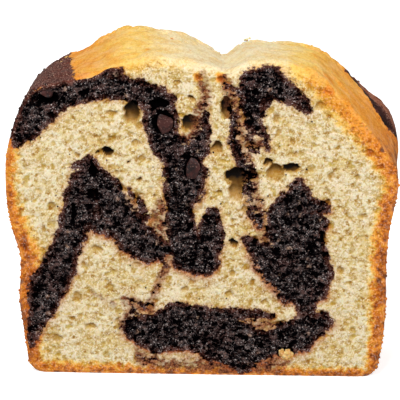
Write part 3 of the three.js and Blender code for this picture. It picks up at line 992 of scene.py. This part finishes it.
def chunk_mesh(x, z, wide, high, sunk, y, salt):
    """A closed lump with a flat front, points and faces, centred behind one of the cut faces."""
    turns = np.linspace(0, FULL_TURN, CHUNK_ROUND, endpoint=False)
    rises = np.linspace(0, math.pi, CHUNK_RINGS + 1)[1:-1]
    turn, rise = (grid.ravel() for grid in np.meshgrid(turns, rises))
    around = np.stack([np.sin(rise) * np.cos(turn), np.cos(rise), np.sin(rise) * np.sin(turn)], axis=1)
    around = np.concatenate([around, [[0, 1, 0], [0, -1, 0]]])
    dice = np.random.default_rng(40 + salt)
    sides = dice.normal(size=(10, 3)) * np.array([1, 0.5, 1])
    sides /= np.linalg.norm(sides, axis=1)[:, None] * dice.uniform(0.75, 1.0, 10)[:, None]
    reach = 1 / np.maximum((around @ sides.T).max(axis=1), 0.8)
    lump = around * (reach * (1 + 0.06 * noise(around * 2 + salt * 7.7, 0.8, 91)))[:, None]
    into = 1 if y == FRONT else -1
    deep = np.clip(lump[:, 1], -0.45, None) + 0.45 + 0.10 * noise(lump, 0.9, 92)
    points = np.stack([x + wide * lump[:, 0], y + into * (sunk + 1.2 * deep), z + high * lump[:, 2]], axis=1)
    first = np.arange(CHUNK_ROUND)
    following = np.roll(first, -1)
    ring = np.stack([first, following, following + CHUNK_ROUND, first + CHUNK_ROUND], axis=1)
    faces = [ring + step * CHUNK_ROUND for step in range(CHUNK_RINGS - 2)]
    tip = len(points) - 2
    last_ring = tip - CHUNK_ROUND
    ends = np.concatenate([
        np.stack([np.full(CHUNK_ROUND, tip), following, first], axis=1),
        np.stack([np.full(CHUNK_ROUND, tip + 1), first + last_ring, following + last_ring], axis=1),
    ])
    if into < 0:
        faces, ends = [quads[:, ::-1] for quads in faces], ends[:, ::-1]
    return points, faces, ends


def chocolate_finish():
    finish = Finish("chocolate")
    tone = finish.mix(finish.spread(finish.noise(1.6, 3), 0.40, 0.60), srgb(26, 13, 12), srgb(70, 33, 28))
    # Small lighter specks over the dark tone.
    light_specks = finish.spread(finish.noise(0.4, 1), 0.64, 0.72, 0, 0.6)
    finish.use("Base Color", finish.mix(light_specks, tone, srgb(140, 104, 92)))
    finish.use("Roughness", 0.42)
    finish.use("Specular IOR Level", 0.35)
    finish.bump(finish.noise(1.2, 4, 0.6), 0.4, 0.8)
    return finish.material


points, faces = [], []
for salt, chunk in enumerate(CHUNKS):
    lump, quads, ends = chunk_mesh(*chunk, salt)
    start = sum(len(block) for block in points)
    points.append(lump)
    faces += [block + start for block in (*quads, ends)]
chunks = mesh_piece("chocolate_chunks", np.concatenate(points), faces, chocolate_finish())
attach(chunks, "root")

# ---------------------------------------------------------------------------------------------------
# Loose crumbs: bits torn off by the knife, caught along the edges of both cuts, on the split in the
# crown and on the cut face, held by the crumb's own stickiness. Cocoa crumbs lie near the ribbons.

CRUMB_COUNT = 420
CRUMB_SIZE = 0.30  # half width of a middling crumb
CRUMB_ROUGHNESS = 0.22  # how far its surface is pushed in and out
CRUMB_SEED = 5
LOWEST_CRUMB = 1.5  # none cling lower than this
COCOA_CRUMBS = 0.75  # how many of the small ones on the cut face are cocoa
GOLDEN_BITS = 34  # the golden crumb near the foot is one torn lump of this many bits
# Crumbs with a place of their own, x, y, z and half width: six along the crown's back edge, and two on
# the front cut below the split.
SINGLE_CRUMBS = [
    (10.6, 12.2, 84.0, 0.42), (11.3, 12.6, 84.3, 0.34), (10.0, 12.9, 83.7, 0.36), (2.9, 12.8, 79.9, 0.45),
    (3.3, 12.4, 80.4, 0.3), (27.6, 12.9, 82.3, 0.3),
    (6.3, FRONT + 0.5, 68.0, 0.8), (5.9, FRONT + 0.5, 67.3, 0.55),
]


def golden_crumb():
    """The bits of the golden crumb: x, y, z and half width in mm."""
    dice = np.random.default_rng(23)
    turn, out = dice.uniform(0, FULL_TURN, GOLDEN_BITS), np.sqrt(dice.random(GOLDEN_BITS))
    size = dice.uniform(0.40, 0.75, GOLDEN_BITS) * (1.2 - 0.5 * out)
    x, z = 21.9 + 2.2 * out * np.cos(turn), 5.6 + 1.5 * out * np.sin(turn) - 0.35 * out * np.cos(turn)
    return np.column_stack([x, FRONT + 0.45 + 0.55 * out, z, size])


def crumb_places(count):
    """Where crumbs cling, and how large each is: x, y, z and half width in mm."""
    dice = np.random.default_rng(11)
    angle = dice.uniform(math.radians(-222), math.radians(40), count)
    _, _, radius = baking_at(angle)
    gap = dice.uniform(0, 0.5, count) * radius
    back_in = edge_depth(gap, radius)
    y = np.where(dice.random(count) < 0.7, FRONT + back_in, BACK - back_in)
    ring = skin_points(angle, y, gap)
    edge_size = CRUMB_SIZE * dice.uniform(0.5, 1.4, count)
    x, z = dice.uniform(-44, 44, count), dice.uniform(4, 78, count)
    cut = np.stack([x, np.full(count, FRONT + 0.25), z], axis=1)
    close = (np.abs(cocoa_distance(cut) - 1.2) < 1.4) & (opened_bubbles(cut)[0] < 0.4)
    size = np.concatenate([edge_size, CRUMB_SIZE * dice.uniform(0.4, 0.9, close.sum())])
    scattered = np.column_stack([np.concatenate([ring, cut[close]]), size])
    loose = np.concatenate([scattered, SINGLE_CRUMBS, golden_crumb()])
    loose = loose[loose[:, 2] > LOWEST_CRUMB]
    loose[:, 2] = np.maximum(loose[:, 2], loose[:, 3] * 1.1)
    room = loose[:, 3:] * np.array([1.3, 0.6, 1.3])
    loose[:, :3] = np.clip(loose[:, :3], np.array(FOOT) + room, np.array(PEAK) - room)
    return loose


def crumb_tree(material):
    """Geometry nodes: one torn lump on every point, each turned and sized on its own."""
    tree = bpy.data.node_groups.new("loose_crumbs", "GeometryNodeTree")
    tree.interface.new_socket("Geometry", in_out="INPUT", socket_type="NodeSocketGeometry")
    seed = tree.interface.new_socket("Seed", in_out="INPUT", socket_type="NodeSocketInt")
    rough = tree.interface.new_socket("Roughness", in_out="INPUT", socket_type="NodeSocketFloat")
    tree.interface.new_socket("Geometry", in_out="OUTPUT", socket_type="NodeSocketGeometry")
    made = {}
    for key, kind in (
        ("start", "NodeGroupInput"),
        ("points", "GeometryNodeMeshToPoints"),
        ("ball", "GeometryNodeMeshIcoSphere"),
        ("place", "GeometryNodeInstanceOnPoints"),
        ("turn", "FunctionNodeRandomValue"),
        ("size", "GeometryNodeInputNamedAttribute"),
        ("real", "GeometryNodeRealizeInstances"),
        ("bumps", "ShaderNodeTexNoise"),
        ("centre", "ShaderNodeVectorMath"),
        ("push", "ShaderNodeVectorMath"),
        ("move", "GeometryNodeSetPosition"),
        ("coat", "GeometryNodeSetMaterial"),
        ("end", "NodeGroupOutput"),
    ):
        made[key] = tree.nodes.new(kind)
    made["ball"].inputs["Radius"].default_value = 1.0
    made["ball"].inputs["Subdivisions"].default_value = 2
    made["turn"].data_type = "FLOAT_VECTOR"
    made["turn"].inputs["Max"].default_value = (FULL_TURN, FULL_TURN, FULL_TURN)
    made["size"].inputs["Name"].default_value = "size"
    made["bumps"].inputs["Scale"].default_value = 1 / (0.5 * MM)
    made["centre"].operation = "SUBTRACT"
    made["centre"].inputs[1].default_value = (0.5, 0.5, 0.5)
    made["push"].operation = "SCALE"
    made["coat"].inputs["Material"].default_value = material
    for one, out, other, into in (
        ("start", "Geometry", "points", "Mesh"),
        ("points", "Points", "place", "Points"),
        ("ball", "Mesh", "place", "Instance"),
        ("start", "Seed", "turn", "Seed"),
        ("turn", "Value", "place", "Rotation"),
        ("size", "Attribute", "place", "Scale"),
        ("place", "Instances", "real", "Geometry"),
        ("real", "Geometry", "move", "Geometry"),
        ("bumps", "Color", "centre", 0),
        ("centre", 0, "push", 0),
        ("start", "Roughness", "push", "Scale"),
        ("push", 0, "move", "Offset"),
        ("move", "Geometry", "coat", "Geometry"),
        ("coat", "Geometry", "end", "Geometry"),
    ):
        tree.links.new(made[one].outputs[out], made[other].inputs[into])
    return tree, {seed.identifier: CRUMB_SEED, rough.identifier: CRUMB_ROUGHNESS * MM}


places = crumb_places(CRUMB_COUNT)
spots = bpy.data.meshes.new("crumb_spots")
spots.from_pydata([tuple(place) for place in places[:, :3] * MM], [], [])
sizes = spots.attributes.new("size", "FLOAT", "POINT")
sizes.data.foreach_set("value", (places[:, 3] * MM).astype(np.float32))
source = bpy.data.objects.new("crumb_spots", spots)
bpy.context.scene.collection.objects.link(source)
tree, settings = crumb_tree(cake_finish("loose_crumbs"))
scatter = source.modifiers.new("loose_crumbs", "NODES")
scatter.node_group = tree
for identifier, value in settings.items():
    scatter[identifier] = value
bpy.context.view_layer.update()
made = bpy.data.meshes.new_from_object(source.evaluated_get(bpy.context.evaluated_depsgraph_get()))
bpy.data.objects.remove(source)
loose = bpy.data.objects.new("loose_crumbs", made)
bpy.context.scene.collection.objects.link(loose)

corners = np.empty(len(made.vertices) * 3, np.float32)
made.vertices.foreach_get("co", corners)
points = np.clip(corners.reshape(-1, 3) / MM, FOOT, PEAK)
made.vertices.foreach_set("co", (points * MM).astype(np.float32).ravel())
whose = np.arange(len(points)) // (len(points) // len(places))
middle = places[whose, :3]
angle = angle_of(middle)
from_middle = np.hypot(middle[:, 0] - MIDDLE[0], middle[:, 2] - MIDDLE[1])
inner = from_middle < outline_radius(angle, middle[:, 1]) - 1.5
tint = baked_colour(middle, np.where(inner, 6.0, 2.0), angle)
golden = whose >= len(places) - GOLDEN_BITS
shade = chance(whose[golden][:, None], 94)[:, None]
tint[golden] = srgb(246, 206, 134) * shade + srgb(226, 160, 84) * (1 - shade)
dark = inner & (chance(whose[:, None], 93) < COCOA_CRUMBS) & (places[whose, 3] < 0.4)
near_cocoa = np.where(dark, -2.0, np.where(inner, 5.0, crust_cocoa(middle)[0]))
store(loose, "tint", tint)
store(loose, "cocoa", np.where(golden, 5.0, near_cocoa))
store(loose, "skin", np.full(len(points), 0.3))
store(loose, "hollow", np.zeros(len(points)))
store(loose, "blend", np.zeros(len(points)))
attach(loose, "root")

# ---------------------------------------------------------------------------------------------------
# The studio: a pale floor that glows a little, a soft light over the front of the slice, a wide one from
# the front right, and a weak one from behind.

FLOOR_REACH = 3.0  # metres each way
floor_mesh = bpy.data.meshes.new("floor")
floor_corners = [(x * FLOOR_REACH, y * FLOOR_REACH, 0) for x, y in ((-1, -1), (1, -1), (1, 1), (-1, 1))]
floor_mesh.from_pydata(floor_corners, [], [(0, 1, 2, 3)])
floor = bpy.data.objects.new("floor", floor_mesh)
bpy.context.scene.collection.objects.link(floor)
floor_finish = Finish("floor")
floor_finish.use("Base Color", (0.95, 0.95, 0.95))
floor_finish.use("Roughness", 0.9)
floor_finish.use("Emission Color", (1, 1, 1))
floor_finish.use("Emission Strength", 0.62)
floor_mesh.materials.append(floor_finish.material)
floor.visible_diffuse = False
floor.visible_glossy = False


def soft_light(name, place, aim, size, power):
    """A square lamp, in metres and watts, that shines from one place to another."""
    lamp = bpy.data.lights.new(name, "AREA")
    lamp.size = size
    lamp.energy = power
    holder = bpy.data.objects.new(name, lamp)
    holder.location = place
    holder.rotation_euler = (Vector(aim) - Vector(place)).to_track_quat("-Z", "Y").to_euler()
    bpy.context.scene.collection.objects.link(holder)


centre = (0, 0, 0.045)
soft_light("overhead", (-0.12, -0.45, 0.50), centre, 0.22, 2.9)
soft_light("front_fill", (0.52, -0.60, 0.34), centre, 0.6, 2.3)
soft_light("back_fill", (-0.25, 0.60, 0.25), centre, 0.6, 0.6)

world = bpy.data.worlds.new("studio")
bpy.context.scene.world = world
world.use_nodes = True
world.node_tree.nodes["Background"].inputs["Color"].default_value = (1, 1, 1, 1)
world.node_tree.nodes["Background"].inputs["Strength"].default_value = 0.38
bpy.context.scene.view_settings.view_transform = "Standard"

# The camera looks a little down on the front cut face, from slightly right of it.
CAMERA_TURN, CAMERA_RISE, CAMERA_DISTANCE = math.radians(2.5), math.radians(15.5), 600 * MM
VIEW_WIDTH = 102.4 * MM  # what the picture takes in, at the front cut face
camera_aim = Vector((-0.6, FRONT, 47.4)) * MM
toward = Vector((
    math.sin(CAMERA_TURN) * math.cos(CAMERA_RISE),
    -math.cos(CAMERA_TURN) * math.cos(CAMERA_RISE),
    math.sin(CAMERA_RISE),
))
camera = bpy.data.objects.new("camera", bpy.data.cameras.new("camera"))
camera.data.sensor_width = 36
camera.data.lens = camera.data.sensor_width * CAMERA_DISTANCE / VIEW_WIDTH
camera.data.clip_start = 0.01
camera.location = camera_aim + toward * CAMERA_DISTANCE
camera.rotation_euler = (-toward).to_track_quat("-Z", "Y").to_euler()
bpy.context.scene.collection.objects.link(camera)
bpy.context.scene.camera = camera
